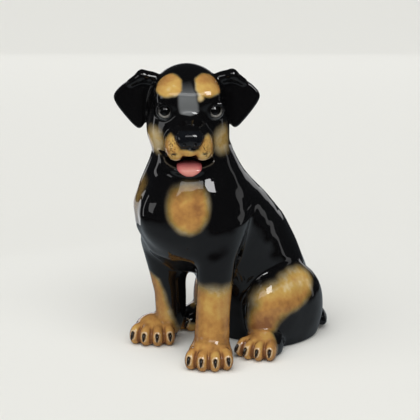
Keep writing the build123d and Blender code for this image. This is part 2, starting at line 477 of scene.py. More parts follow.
def ruler(start, stretches):
    """Grid positions from start, each stretch being (end, step), in a whole number of blocks."""
    marks = [start]
    for end, step in stretches:
        while marks[-1] < end:
            marks.append(marks[-1] + step)
    while len(marks) % BLOCK:
        marks.append(marks[-1] + stretches[-1][1])
    return np.array(marks)


def sampled(xs, ys, zs):
    """The field on the grid, worked out only in the blocks near the skin."""
    centres = [axis.reshape(-1, BLOCK).mean(axis=1) for axis in (xs, ys, zs)]
    spans = [axis.reshape(-1, BLOCK)[:, -1] - axis.reshape(-1, BLOCK)[:, 0] for axis in (xs, ys, zs)]
    grid = np.stack(np.meshgrid(*centres, indexing="ij"), axis=-1)
    reach = np.sqrt(sum(s**2 for s in np.meshgrid(*spans, indexing="ij"))) / 2
    coarse = distance(grid.reshape(-1, 3)).reshape(grid.shape[:3])
    near = np.abs(coarse) < reach * 1.5 + 6
    field = np.repeat(np.repeat(np.repeat(coarse, BLOCK, 0), BLOCK, 1), BLOCK, 2)
    fine = np.repeat(np.repeat(np.repeat(near, BLOCK, 0), BLOCK, 1), BLOCK, 2)
    i, j, k = np.nonzero(fine)
    field[i, j, k] = distance(np.stack([xs[i], ys[j], zs[k]], axis=1))
    return field


def surface_net(field, xs, ys, zs):
    """Vertices and quads of the zero surface, one vertex for each grid cell that it passes through."""
    inside = field < 0
    shape = tuple(n - 1 for n in field.shape)
    total = np.zeros(shape + (3,), dtype=np.float32)
    count = np.zeros(shape, dtype=np.int32)
    axes = (xs, ys, zs)
    crossings = []
    for axis in range(3):
        low = [slice(None)] * 3
        high = [slice(None)] * 3
        low[axis], high[axis] = slice(None, -1), slice(1, None)
        change = inside[tuple(low)] != inside[tuple(high)]
        at = np.argwhere(change)
        crossings.append(at)
        ahead = at.copy()
        ahead[:, axis] += 1
        a, b = field[tuple(at.T)], field[tuple(ahead.T)]
        share = a / (a - b)
        place = np.stack([axes[n][at[:, n]] for n in range(3)], axis=1)
        place[:, axis] += share * (axes[axis][ahead[:, axis]] - axes[axis][at[:, axis]])
        others = [n for n in range(3) if n != axis]
        for back_one in (0, 1):
            for back_two in (0, 1):
                cell = at.copy()
                cell[:, others[0]] -= back_one
                cell[:, others[1]] -= back_two
                whole = np.all((cell >= 0) & (cell < shape), axis=1)
                where = tuple(cell[whole].T)
                np.add.at(total, where, place[whole].astype(np.float32))
                np.add.at(count, where, 1)
    used = count > 0
    index = np.full(shape, -1, dtype=np.int64)
    index[used] = np.arange(used.sum())
    vertices = (total[used] / count[used][:, None]).astype(float)
    quads = []
    for axis, at in enumerate(crossings):
        one, two = (axis + 1) % 3, (axis + 2) % 3
        ring = []
        for back_one, back_two in ((1, 1), (0, 1), (0, 0), (1, 0)):
            cell = at.copy()
            cell[:, one] -= back_one
            cell[:, two] -= back_two
            ring.append(index[tuple(cell.T)])
        quad = np.stack(ring, axis=1)
        outward = inside[tuple(at.T)]
        quad[~outward] = quad[~outward][:, ::-1]
        quads.append(quad)
    return vertices, np.concatenate(quads)


def settled(vertices, rounds=3):
    """Vertices moved onto the skin along its gradient."""
    for _ in range(rounds):
        slope = gradient(vertices)
        value = distance(vertices)
        step = value / np.maximum((slope**2).sum(axis=1), 0.05)
        step = np.clip(step, -0.8, 0.8)
        vertices = vertices - slope * step[:, None]
    return vertices


def triangles_of(vertices, quads):
    """Each quad split along its shorter diagonal."""
    a, b, c, d = (vertices[quads[:, n]] for n in range(4))
    first = ((a - c) ** 2).sum(axis=1) < ((b - d) ** 2).sum(axis=1)
    one = np.where(first[:, None], quads[:, [0, 1, 2]], quads[:, [0, 1, 3]])
    two = np.where(first[:, None], quads[:, [0, 2, 3]], quads[:, [1, 2, 3]])
    return np.concatenate([one, two])


# Order in which the pieces are cut off the skin; what is left at the end is the torso
SEAM_ORDER = [
    "nose", "lower_jaw", "left_ear", "right_ear", "head_shell",
    "left_forepaw", "right_forepaw", "left_hind_paw", "right_hind_paw",
    "left_foreleg", "right_foreleg", "left_thigh", "right_thigh", "tail", "torso_shell",
]
SEAM_OFFSET = {"head_shell": -2.0}      # gives the head's casting a little more of the neck


def cut_along(vertices, triangles, field):
    """Triangles where field is negative, and the rest, divided exactly where it changes sign."""
    low = field < 0
    signs = low[triangles].sum(axis=1)
    kept, rest = [triangles[signs == 3]], [triangles[signs == 0]]
    crossing = triangles[(signs == 1) | (signs == 2)]
    lone_low = low[crossing].sum(axis=1) == 1
    lone = np.where(lone_low[:, None], low[crossing], ~low[crossing])
    first = lone.argmax(axis=1)
    rows = np.arange(len(crossing))
    a = crossing[rows, first]
    b = crossing[rows, (first + 1) % 3]
    c = crossing[rows, (first + 2) % 3]
    edges = np.sort(np.concatenate([np.stack([a, b], 1), np.stack([a, c], 1)]), axis=1)
    unique, which = np.unique(edges, axis=0, return_inverse=True)
    which = which.reshape(-1)
    start, end = unique[:, 0], unique[:, 1]
    share = field[start] / (field[start] - field[end])
    share = np.clip(share, 0.06, 0.94)
    added = vertices[start] + (vertices[end] - vertices[start]) * share[:, None]
    ab = len(vertices) + which[: len(crossing)]
    ac = len(vertices) + which[len(crossing) :]
    tip = np.stack([a, ab, ac], axis=1)
    base = np.concatenate([np.stack([ab, b, c], 1), np.stack([ab, c, ac], 1)])
    base_low = np.concatenate([~lone_low, ~lone_low])
    kept += [tip[lone_low], base[base_low]]
    rest += [tip[~lone_low], base[~base_low]]
    vertices = np.concatenate([vertices, added])
    field = np.concatenate([field, np.zeros(len(added))])
    return vertices, np.concatenate(kept), np.concatenate(rest), (start, end, share)


def islands(triangles):
    """A number for each triangle, the same for all that hang together by shared vertices."""
    label = np.arange(triangles.max() + 1)
    while True:
        least = label[triangles].min(axis=1)
        new = label.copy()
        for corner in range(3):
            np.minimum.at(new, triangles[:, corner], least)
        new = new[new]
        if np.array_equal(new, label):
            return label[triangles[:, 0]]
        label = new


def largest(triangles):
    """Which triangles belong to the largest island."""
    group = islands(triangles)
    names, sizes = np.unique(group, return_counts=True)
    return group == names[sizes.argmax()]


def boundary_loops(triangles):
    """The open edges of a mesh as closed chains of vertices, running against the triangles beside them."""
    edges = np.concatenate([triangles[:, [0, 1]], triangles[:, [1, 2]], triangles[:, [2, 0]]])
    keys = {(int(a), int(b)) for a, b in edges}
    following = {}
    for a, b in keys:
        if (b, a) not in keys:
            following.setdefault(b, []).append(a)
    loops = []
    while following:
        start = min(following)
        loop, at = [], start
        while True:
            loop.append(at)
            ways = following[at]
            onward = ways.pop()
            if not ways:
                del following[at]
            at = onward
            if at == start:
                break
        loops.append(loop)
    return loops


def divided(vertices, triangles, fields):
    """The skin cut into its clay pieces: node name to triangles, over one shared list of vertices."""
    pieces = {}
    left = list(SEAM_ORDER)
    for name in SEAM_ORDER[:-1]:
        left.remove(name)
        seam = fields[name] - np.min([fields[other] for other in left], axis=0) + SEAM_OFFSET.get(name, 0.0)
        vertices, kept, rest, (start, end, share) = cut_along(vertices, triangles, seam)
        for key, values in fields.items():
            added = values[start] + (values[end] - values[start]) * share
            fields[key] = np.concatenate([values, added])
        main = largest(kept)
        triangles = np.concatenate([rest, kept[~main]])
        body = largest(triangles)
        pieces[name] = np.concatenate([kept[main], triangles[~body]])
        triangles = triangles[body]
    pieces[SEAM_ORDER[-1]] = triangles
    return vertices, pieces


def closed_mesh(name, vertices, normals, triangles, layers):
    """A Blender object of one clay piece: its part of the skin, and a fan of clay over each open seam."""
    used, local = np.unique(triangles, return_inverse=True)
    local = local.reshape(-1, 3)
    points = vertices[used]
    caps = []
    for loop in boundary_loops(local):
        centre = len(points)
        points = np.concatenate([points, points[loop].mean(axis=0)[None]])
        caps += [(loop[n], loop[(n + 1) % len(loop)], centre) for n in range(len(loop))]
    faces = np.concatenate([local, np.array(caps, dtype=local.dtype).reshape(-1, 3)])
    mesh = bpy.data.meshes.new(name)
    mesh.from_pydata(((points + ROW_SHIFT) * MM).tolist(), [], faces.tolist())
    corner = normals[used][local.reshape(-1)]
    if caps:
        a, b, c = (points[faces[len(local) :, n]] for n in range(3))
        flat = np.cross(b - a, c - a)
        flat /= np.maximum(np.linalg.norm(flat, axis=1), 1e-9)[:, None]
        corner = np.concatenate([corner, np.repeat(flat, 3, axis=0)])
    mesh.normals_split_custom_set(corner.tolist())
    for key, values in layers.items():
        layer = mesh.attributes.new(key, "FLOAT", "POINT")
        padded = np.zeros(len(points), dtype=np.float32)
        padded[: len(used)] = values[used]
        layer.data.foreach_set("value", padded)
    thing = bpy.data.objects.new(name, mesh)
    bpy.context.collection.objects.link(thing)
    return thing


# ---------------------------------------------------------------------------------------------------------
# Painted markings, and painted reflections and highlights, worked out at each vertex of the skin
# ---------------------------------------------------------------------------------------------------------
def airbrushed(gap, softness):
    """1 inside a sprayed patch, 0 outside, with a soft edge as wide as softness."""
    share = np.clip(0.5 - gap / softness, 0, 1)
    return share * share * (3 - 2 * share)


# Painted patches: centre and half axes, or the two ends and radii of a rod. The head's are in its own frame.
BROW_PATCH = ((18.5, -28, 28), (13.2, 24, 11.5))
BROW_INSIDE, BROW_BOTTOM = 6.8, 19.2    # where the brow patch is cut off straight
# A pale painted highlight at the inner, lower end of the left brow: a rod's two ends and radii
BROW_HIGHLIGHT = ((12.5, -34, 25), (11.4, -38.5, 17.6), 6.0, 3.2)
CHEEK_PATCH = ((33, -23, -26), (10.5, 14, 12))
FLEW_PATCH = ((15.4, -42, -31), (8.4, 21, 15.0))
LIP_PATCH = ((12, -52, -34), (0, -59, -33.5), 5.0, 4.2)
CHEST_PATCH = ((28, -84, 161), (18.5, 40, 25.5))
SHOULDER_PATCH = ((-30, -92, 163), (13, 16, 21))
THIGH_PATCH = ((62, 24, 58), (40, 37, 16))
SHIN_PATCH = ((58, 0, 50), (59, -17, 16), 16.0, 10.0)
FRECKLE_PATCH = ((15.5, -42, -29), (5.5, 20, 10.5))
BLOT_AT, BLOT_SIZE = (15.0, -34.0), (2.8, 1.3)      # the blot on each flew: across and up
# Where the grey painted reflection between the brows lies: by height, its half width
FOREHEAD_REFLECTION = [(0, 8.8), (10, 9.4), (20, 8.4), (34, 5.0)]     # height and half width


def whisker_spots(q):
    """Where the whiskers grow, freckled by brush, with one dark blot on each flew."""
    both = (np.abs(q[0]), q[1], q[2])
    freckled = airbrushed(ellipsoid(both, *FRECKLE_PATCH), 4.0)
    across = (both[0] - BLOT_AT[0]) / BLOT_SIZE[0]
    up = (both[2] - BLOT_AT[1]) / BLOT_SIZE[1]
    blot = airbrushed(np.hypot(across, up) - 1, 0.9) * (q[1] < -30)
    return freckled, blot * 0.85


def painted_forehead_reflection(q):
    """The grey painted reflection between the brows, fading out above and ending in an arc on the bridge."""
    x, y, z = q
    middle_x = -0.8 - 0.12 * (z - 14)
    edge = np.abs(x - middle_x) - np.interp(z, *zip(*FOREHEAD_REFLECTION))
    bottom = airbrushed(1.2 + 0.02 * x * x - z, 1.6)
    top = np.clip((33 - z) / 16, 0, 1)
    return airbrushed(edge, 3.5) * bottom * top * (y < -20)


def face_patches(q, on_face):
    """The head's tan patches, each with how deep its tan is."""
    both = (np.abs(q[0]), q[1], q[2])
    brow = np.maximum(ellipsoid(both, *BROW_PATCH), BROW_INSIDE - both[0])
    brow = np.maximum(brow, BROW_BOTTOM - both[2])
    flews = airbrushed(ellipsoid(both, *FLEW_PATCH), 3.6)
    flews = np.maximum(flews, airbrushed(bone(both, *LIP_PATCH), 3.0))
    return [
        # A pale painted highlight on the left brow
        (airbrushed(bone(q, *BROW_HIGHLIGHT), 3.4), 0.15),
        (airbrushed(brow, 3.4), 0.42),
        (airbrushed(ellipsoid(both, *CHEEK_PATCH), 13.0) * np.where(q[0] < 0, 0.8, 0.6), 0.10),
        (flews * on_face, 0.40 - 0.28 * np.clip((-32 - q[2]) / 8, 0, 1)),
    ]


def body_patches(p, fields):
    """The tan patches below the head, each with how deep its tan is."""
    x, y, z = p
    # The shield on the chest is paler at its bottom, deeper at its top and fades out there
    shield = ellipsoid(p, *CHEST_PATCH, yaw=HEAD_YAW)
    top_fade = np.clip((186 - z + 0.35 * (x - 20)) / 26, 0, 1)
    low = np.clip((144 - z) / 12, 0, 1)
    high = np.clip((z - 168) / 14, 0, 1)
    patches = [(airbrushed(shield, 12.0) * top_fade, 0.74 - 0.3 * low + 0.4 * high)]
    patches.append((airbrushed(ellipsoid(p, *SHOULDER_PATCH), 14.0) * 0.3, 0.7))
    for side, mirror in (("left", 1), ("right", -1)):
        at = (mirror * x, y, z)
        haunch = union(ellipsoid(at, *THIGH_PATCH, tilt=0.3), bone(at, *SHIN_PATCH), 8)
        near = np.clip(1.0 - fields[side + "_thigh"] / 6, 0, 1)
        patches.append((airbrushed(haunch, 13.0) * near, 0.24 + 0.027 * np.clip(66 - z, 0, 30)))
    # The left foreleg is tan below the elbow, the right one only on its outer side
    left_leg = airbrushed(z - 76, 20.0) * airbrushed(fields["left_foreleg"] - 3, 11.0)
    patches.append((left_leg, 0.55 + 0.006 * np.clip(70 - z, 0, 50)))
    above = z - 75 + 0.5 * (x + 45)
    inwards = 0.9 * (x + 0.35 * (y + 46) + 0.25 * (z - 20) + 29)
    right_leg = np.maximum(np.maximum(above, inwards), fields["right_foreleg"] - 3)
    patches.append((airbrushed(right_leg, 10.0), 0.60))
    for name, (px, py, yaw, _, length, _) in PAWS.items():
        mask = airbrushed(fields[name] - 1.5, 4.0)
        back = turned(moved(p, px, py), math.radians(yaw))
        if name == "left_hind_paw":
            mask = mask * airbrushed(back[1] - 0.12 * length + 0.9 * back[0] - 6, 9.0)
        if name == "right_hind_paw":
            mask = mask * airbrushed(z - 13 + 0.4 * (back[1] + length), 6.0)
        patches.append((mask, 0.58))
    return patches


def markings_and_painted_light(vertices, fields):
    """The paint layers at each vertex, from 0 to 1: tan, its depth, black brushwork, pale rims and grey; the
    grey is painted reflection and highlight, and so are the pale rims under the eyes.
    """
    p = tuple(vertices.T)
    warp = 1.2 * wobble(p, 14, 1.0) + 0.6 * wobble(p, 5, 2.0)
    p_warped = (p[0] + warp, p[1] - warp, p[2] + 1.0 * wobble(p, 9, 3.0))
    q = turned(moved(p_warped, *SKULL_IN_BODY), HEAD_YAW)
    on_face = np.minimum(fields["head_shell"], fields["nose"]) < 4
    tan = np.zeros(len(vertices))
    depth = np.zeros(len(vertices))
    for mask, tone in face_patches(q, on_face) + body_patches(p_warped, fields):
        depth = depth * (1 - mask) + tone * mask
        tan = np.maximum(tan, mask)
    depth = depth + 0.16 * wobble(p, 11, 4.0) + 0.08 * wobble(p, 4, 5.0)
    freckles, ink = whisker_spots(q)
    plain = turned(moved(p, *SKULL_IN_BODY), HEAD_YAW)
    gape = mouth_gap(plain)
    ink = ink * on_face
    for gap, softness in ((fields["nose"] - 0.6, 1.6), (gape - 0.4, 1.0), (fields["lower_jaw"] - 1.0, 3.0)):
        ink = np.maximum(ink, airbrushed(gap, softness))
    lip = airbrushed(np.abs(gape - 1.0) - 0.3, 0.9) * (fields["lower_jaw"] < 6) * 0.12
    lip = np.maximum(lip, airbrushed(np.abs(gape - 1.8) - 0.9, 1.6) * on_face * (tan > 0.5) * 0.8)
    # A grey painted reflection between the brows, on top of the wall softbox's real reflection there
    painted_reflection = painted_forehead_reflection(q) * (1 - tan)
    # Painted highlights under each eye, strongest low down: grey arcs along both lid rims and a pale line
    # along the inner one
    for side in (1, -1):
        _, _, (_, inner, outer) = eye_rims(plain, side)
        low = np.clip(0.5 - (plain[2] - EYE_AT[2]) / 6, 0, 1)
        lip = np.maximum(lip, airbrushed(inner - 0.1, 0.7) * low * 0.2)
        for rim, strength in ((inner, 1.0), (outer, 0.6)):
            painted_reflection = np.maximum(painted_reflection, airbrushed(rim - 0.2, 0.7) * low * strength)
    painted_reflection = painted_reflection * on_face
    return {"tan": tan, "depth": depth, "ink": ink, "rim": lip, "freckles": freckles * on_face, "painted_reflection": painted_reflection}


# ---------------------------------------------------------------------------------------------------------
# Materials
# ---------------------------------------------------------------------------------------------------------
BLACK = (0.0022, 0.0022, 0.0026, 1)
TAN_TONES = [
    (0.0, (0.60, 0.49, 0.29)),
    (0.3, (0.50, 0.32, 0.090)),
    (0.6, (0.41, 0.21, 0.060)),
    (1.0, (0.20, 0.085, 0.032)),
]


class Nodes:
    """A short way to write a material's node tree: every call returns the new node's output."""

    def __init__(self, name):
        self.material = bpy.data.materials.new(name)
        self.material.use_nodes = True
        self.tree = self.material.node_tree
        self.shader = self.tree.nodes["Principled BSDF"]
        self.place = self.add("ShaderNodeTexCoord").outputs["Object"]

    def add(self, kind, links=(), **settings):
        node = self.tree.nodes.new(kind)
        for key, value in settings.items():
            setattr(node, key, value)
        for key, value in dict(links).items():
            self.feed(node.inputs[key], value)
        return node

    def feed(self, socket, value):
        if isinstance(value, bpy.types.NodeSocket):
            self.tree.links.new(value, socket)
        else:
            socket.default_value = value

    def set(self, **values):
        for key, value in values.items():
            self.feed(self.shader.inputs[key.replace("_", " ")], value)

    def noise(self, per_metre, detail=3.0, distortion=0.0):
        links = {"Vector": self.place, "Scale": per_metre, "Detail": detail, "Roughness": 0.55}
        return self.add("ShaderNodeTexNoise", {**links, "Distortion": distortion}).outputs["Fac"]

    def math(self, operation, a, b=0.0, clamp=False):
        return self.add("ShaderNodeMath", {0: a, 1: b}, operation=operation, use_clamp=clamp).outputs[0]

    def varied(self, value, noise, amount):
        """value, with noise around its middle of 0.5 added to it in the given amount."""
        change = self.math("MULTIPLY", self.math("SUBTRACT", noise, 0.5), amount)
        return self.math("ADD", value, change)

    def ramp(self, value, stops):
        node = self.add("ShaderNodeValToRGB", {"Fac": value})
        elements = node.color_ramp.elements
        while len(elements) < len(stops):
            elements.new(0.5)
        for element, (at, colour) in zip(elements, stops):
            element.position = at
            element.color = (*colour, 1)
        return node.outputs["Color"]

    def mix(self, share, a, b):
        node = self.add("ShaderNodeMix", data_type="RGBA")
        self.feed(node.inputs[0], share)
        self.feed(node.inputs[6], a)
        self.feed(node.inputs[7], b)
        return node.outputs[2]

    def layer(self, name):
        return self.add("ShaderNodeAttribute", attribute_name=name).outputs["Fac"]

    def bump(self, height, depth, normal=None):
        links = {"Height": height, "Distance": depth, "Strength": 1.0}
        if normal is not None:
            links["Normal"] = normal
        return self.add("ShaderNodeBump", links).outputs["Normal"]


def glaze_over(nodes, colour):
    """A clear gloss glaze, slightly uneven, over the painted colour."""
    flow = nodes.noise(38, detail=1.0)
    pits = nodes.noise(900, detail=2.0)
    pinholes = nodes.ramp(pits, [(0.0, (0, 0, 0)), (0.24, (0, 0, 0)), (0.30, (1, 1, 1))])
    wave = nodes.bump(flow, 0.0011)
    skin = nodes.bump(pinholes, 0.00004, wave)
    nodes.set(Base_Color=colour, Roughness=0.55, Specular_IOR_Level=0.0)
    nodes.set(Coat_Weight=1.0, Coat_Roughness=0.02, Coat_IOR=1.48)
    nodes.set(Coat_Normal=skin, Normal=wave)
    return nodes.material


def painted_glaze(name):
    """Black, with sprayed tan patches and brushed lines as the skin's vertex layers say, painted reflections
    and highlights among them, and painted shade deepening the tan in hollows and at edges.
    """
    nodes = Nodes(name)
    stipple = nodes.noise(1500, detail=2.0)
    cloud = nodes.noise(160, detail=3.0)
    streaks = nodes.noise(420, detail=4.0, distortion=0.6)
    tan = nodes.layer("tan")
    edge = nodes.math("MULTIPLY", tan, nodes.math("SUBTRACT", 1.0, tan))
    grain = nodes.math("MULTIPLY", nodes.math("SUBTRACT", stipple, 0.5), 2.2)
    sprayed = nodes.math("ADD", tan, nodes.math("MULTIPLY", edge, grain), clamp=True)
    depth = nodes.varied(nodes.layer("depth"), cloud, 0.4)
    depth = nodes.varied(depth, streaks, 0.25)
    # Painted shade in the hollows, along with glaze pooled there: the tan made deeper
    depth = nodes.math("ADD", depth, nodes.math("MULTIPLY", nodes.layer("hollow_shade"), 0.7), clamp=True)
    # Painted shade: the tan made deeper where the skin turns edge-on to the view
    edge_on = nodes.add("ShaderNodeLayerWeight", {"Blend": 0.35}).outputs["Facing"]
    edge_shade = nodes.math("MULTIPLY", nodes.math("POWER", edge_on, 2.0), 0.6)
    depth = nodes.math("ADD", depth, edge_shade, clamp=True)
    warm = nodes.ramp(depth, TAN_TONES)
    body = nodes.mix(nodes.math("MULTIPLY", cloud, 0.6), BLACK, (0.004, 0.0036, 0.0034, 1))
    colour = nodes.mix(sprayed, body, warm)
    # The grey of the painted reflection between the brows and of the painted highlights under the eyes
    colour = nodes.mix(nodes.layer("painted_reflection"), colour, (0.125, 0.130, 0.132, 1))
    specks = nodes.noise(560, detail=1.0)
    spots = nodes.ramp(specks, [(0.0, (0, 0, 0)), (0.55, (0, 0, 0)), (0.60, (1, 1, 1))])
    freckles = nodes.math("MULTIPLY", nodes.math("MULTIPLY", spots, nodes.layer("freckles")), 0.9)
    colour = nodes.mix(freckles, colour, (0.05, 0.02, 0.01, 1))
    colour = nodes.mix(nodes.layer("ink"), colour, (0.004, 0.0035, 0.0035, 1))
    # Pale lines along the lips, the flews' edges and round the claw dabs, and under each eye a painted
    # highlight
    colour = nodes.mix(nodes.layer("rim"), colour, (0.60, 0.50, 0.36, 1))
    return glaze_over(nodes, colour)


def brushed_glaze(name, dark, light, per_metre):
    """One colour laid on with a brush, thinner in places."""
    nodes = Nodes(name)
    strokes = nodes.noise(per_metre, detail=4.0, distortion=1.2)
    colour = nodes.ramp(strokes, [(0.3, dark), (0.75, light)])
    return glaze_over(nodes, colour)


def eye_glaze():
    """A black pupil in a dark brown iris, black again round it."""
    nodes = Nodes("eye_paint")
    away = nodes.layer("away")
    tint = nodes.noise(700, detail=3.0)
    stops = [
        (0.0, (0.002, 0.002, 0.002)),
        (0.44, (0.002, 0.002, 0.002)),
        (0.50, (0.035, 0.014, 0.006)),
        (0.68, (0.02, 0.009, 0.005)),
        (0.74, (0.003, 0.003, 0.003)),
        (1.0, (0.003, 0.003, 0.003)),
    ]
    return glaze_over(nodes, nodes.ramp(nodes.varied(away, tint, 0.06), stops))


def tongue_glaze():
    """Pink, deeper towards the root, along the sides and at the tip."""
    nodes = Nodes("tongue_paint")
    strokes = nodes.noise(260, detail=3.0, distortion=0.8)
    depth = nodes.varied(nodes.layer("depth"), strokes, 0.3)
    tones = [(0.0, (0.56, 0.23, 0.19)), (0.4, (0.42, 0.11, 0.11)), (1.0, (0.14, 0.025, 0.03))]
    return glaze_over(nodes, nodes.ramp(depth, tones))


SKIN_PAINT = painted_glaze("painted_skin")
NOSE_PAINT = brushed_glaze("nose_paint", (0.003, 0.003, 0.004), (0.007, 0.008, 0.010), 300)
CLAW_PAINT = brushed_glaze("claw_paint", (0.003, 0.003, 0.003), (0.02, 0.014, 0.01), 900)
EYE_PAINT = eye_glaze()
TONGUE_PAINT = tongue_glaze()


def finished(thing, node, material):
    """Gives a piece its material, and puts it in its CAD node's place on the figurine's one body."""
    thing.data.materials.append(material)
    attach(thing, "root")
    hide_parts(node)


# ---------------------------------------------------------------------------------------------------------
# Pieces made on their own: eyes, tongue and claws
# ---------------------------------------------------------------------------------------------------------
def tube(name, shells):
    """A mesh of closed shells, each lofted through rings of equally many points, with a fan at each end."""
    points, faces = [], []
    for rings in shells:
        first, around = len(points), len(rings[0])
        for ring in rings:
            points += [tuple(point) for point in ring]
        for level in range(len(rings) - 1):
            for n in range(around):
                a = first + level * around + n
                b = first + level * around + (n + 1) % around
                faces.append((a, b, b + around, a + around))
        top = first + (len(rings) - 1) * around
        points += [tuple(np.mean(rings[0], axis=0)), tuple(np.mean(rings[-1], axis=0))]
        for n in range(around):
            m = (n + 1) % around
            faces.append((first + m, first + n, len(points) - 2))
            faces.append((top + n, top + m, len(points) - 1))
    points = np.array(points)
    mesh = bpy.data.meshes.new(name)
    mesh.from_pydata(((points + ROW_SHIFT) * MM).tolist(), [], faces)
    mesh.shade_smooth()
    thing = bpy.data.objects.new(name, mesh)
    bpy.context.collection.objects.link(thing)
    return thing, points


def add_layer(thing, name, values):
    """One number for each point of a piece, for its material to read."""
    layer = thing.data.attributes.new(name, "FLOAT", "POINT")
    layer.data.foreach_set("value", np.asarray(values, dtype=np.float32))


def head_to_body(points):
    """Points of the head's own frame in the figurine's."""
    return points @ HEAD_TURN.T + SKULL_IN_BODY


def make_eye(side, name):
    """An eyeball with a slightly raised cornea, and how far each point is from where it looks."""
    outward = math.radians(EYE_OUTWARD * side + EYE_LOOK)
    centre = EYE_AT * (side, 1, 1)
    ahead = np.array([math.sin(outward), -math.cos(outward), 0])
    across = np.array([math.cos(outward), math.sin(outward), 0])
    circle = np.linspace(0, 2 * math.pi, 56, endpoint=False)
    rings = []
    for angle in np.linspace(0, math.pi, 42)[1:-1]:
        radius = EYE_RADIUS + 0.5 * math.exp(-((angle / 0.62) ** 2))
        flat = np.outer(np.cos(circle), across) + np.outer(np.sin(circle), (0, 0, 1))
        rings.append(head_to_body(centre + radius * (math.cos(angle) * ahead + math.sin(angle) * flat)))
    eye, points = tube(name + "_ball", [rings[::-1]])
    direction = (points - head_to_body(centre[None])) @ HEAD_TURN
    direction /= np.linalg.norm(direction, axis=1)[:, None]
    add_layer(eye, "away", np.arccos(np.clip(direction @ ahead, -1, 1)) / (math.pi / 2))
    finished(eye, name, EYE_PAINT)


def make_tongue():
    """A tongue lying in the mouth and curling down over the lower lip, with a furrow along its middle."""
    window = np.hanning(9)[1:-1] / np.hanning(9)[1:-1].sum()
    columns = through(TONGUE, 44).T
    y, z, half = (np.convolve(np.pad(column, 3, "edge"), window, "valid") for column in columns)
    slope_y, slope_z = np.gradient(y), np.gradient(z)
    length = np.hypot(slope_y, slope_z)
    angle = np.linspace(0, 2 * math.pi, 48, endpoint=False)
    rings, depth = [], []
    for n in range(len(y)):
        up = np.array([0, slope_z[n], -slope_y[n]]) / length[n]
        x = half[n] * np.sign(np.cos(angle)) * np.abs(np.cos(angle)) ** 0.8
        thick = 2.0 * np.sin(angle) - 0.35 * np.exp(-((x / 3.0) ** 2)) * (np.sin(angle) > 0) * np.sin(angle)
        ring = np.stack([x, np.full_like(x, y[n]), np.full_like(x, z[n])], axis=1) + np.outer(thick, up)
        rings.append(head_to_body(ring))
        root = np.clip(1 - n / 30, 0, 1)
        tip = np.clip((n - 34) / 10, 0, 1)
        depth += list(0.9 * root + 0.45 * (np.abs(x) / half[n]) ** 4 + 0.35 * tip)
    tongue, _ = tube("tongue_curl", [rings])
    add_layer(tongue, "depth", depth + [1.0, 0.6])
    finished(tongue, "tongue", TONGUE_PAINT)


def toe_frames(place):
    """For each toe of a paw: its middle, the way it points, and its half length and half height."""
    x, y, yaw, half_width, half_length, height = place
    turn = math.radians(yaw)
    frames = []
    for share in TOE_SHARES:
        across, forward = half_width * share, half_length * (0.62 - 0.42 * share * share)
        middle_x = x + across * math.cos(turn) + forward * math.sin(turn)
        middle_y = y + across * math.sin(turn) - forward * math.cos(turn)
        points = turn + TOE_SPLAY * share
        ahead = np.array([math.sin(points), -math.cos(points), 0])
        centre = np.array([middle_x, middle_y, height * 0.34])
        frames.append((centre, ahead, half_length * 0.44, height * 0.42))
    return frames


def claw_path(frame):
    """The middle line of a claw: out of the front of its toe and curling down."""
    centre, ahead, length, height = frame
    shape = [(0.62, 0.30), (0.88, 0.34), (1.03, 0.18), (1.11, -0.04), (1.12, -0.26)]
    return [centre + ahead * length * out + np.array([0, 0, height * rise]) for out, rise in shape]


CLAW_RINGS = 18
# The claw's radius along its path, which runs from 0 to 4
CLAW_TAPER = [(0, 1.9), (1, 1.9), (2, 1.75), (3, 1.35), (3.7, 0.85), (4, 0.3)]


def make_claws(name, place):
    """Four small pointed claws."""
    shells = []
    circle = np.linspace(0, 2 * math.pi, 20, endpoint=False)
    for frame in toe_frames(place):
        line = through(claw_path(frame), CLAW_RINGS, rounds=1)
        radii = np.interp(np.linspace(0, 4, CLAW_RINGS), *zip(*CLAW_TAPER))
        side = np.cross(frame[1], (0, 0, 1))
        rings = []
        for n in range(len(line)):
            along = line[min(n + 1, len(line) - 1)] - line[max(n - 1, 0)]
            other = np.cross(along / np.linalg.norm(along), side)
            section = 0.8 * np.outer(np.cos(circle), side) + np.outer(np.sin(circle), other)
            rings.append(line[n] + radii[n] * section)
        shells.append(rings)
    claws, _ = tube(name + "_set", shells)
    finished(claws, name, CLAW_PAINT)


def claw_marks(vertices):
    """Black dabs round the claws' roots, and a thin pale line that frames each dab."""
    ink = np.zeros(len(vertices))
    rim = np.zeros(len(vertices))
    for place in PAWS.values():
        for frame in toe_frames(place):
            route = claw_path(frame)
            near = bone(tuple(vertices.T), route[1], route[2], 0.0, 0.0)
            near = np.minimum(near, bone(tuple(vertices.T), route[2], route[3], 0.0, 0.0))
            ink = np.maximum(ink, airbrushed(near - 2.1, 0.9))
            rim = np.maximum(rim, airbrushed(np.abs(near - 2.9) - 0.4, 0.9) * 0.8)
    return ink, rim


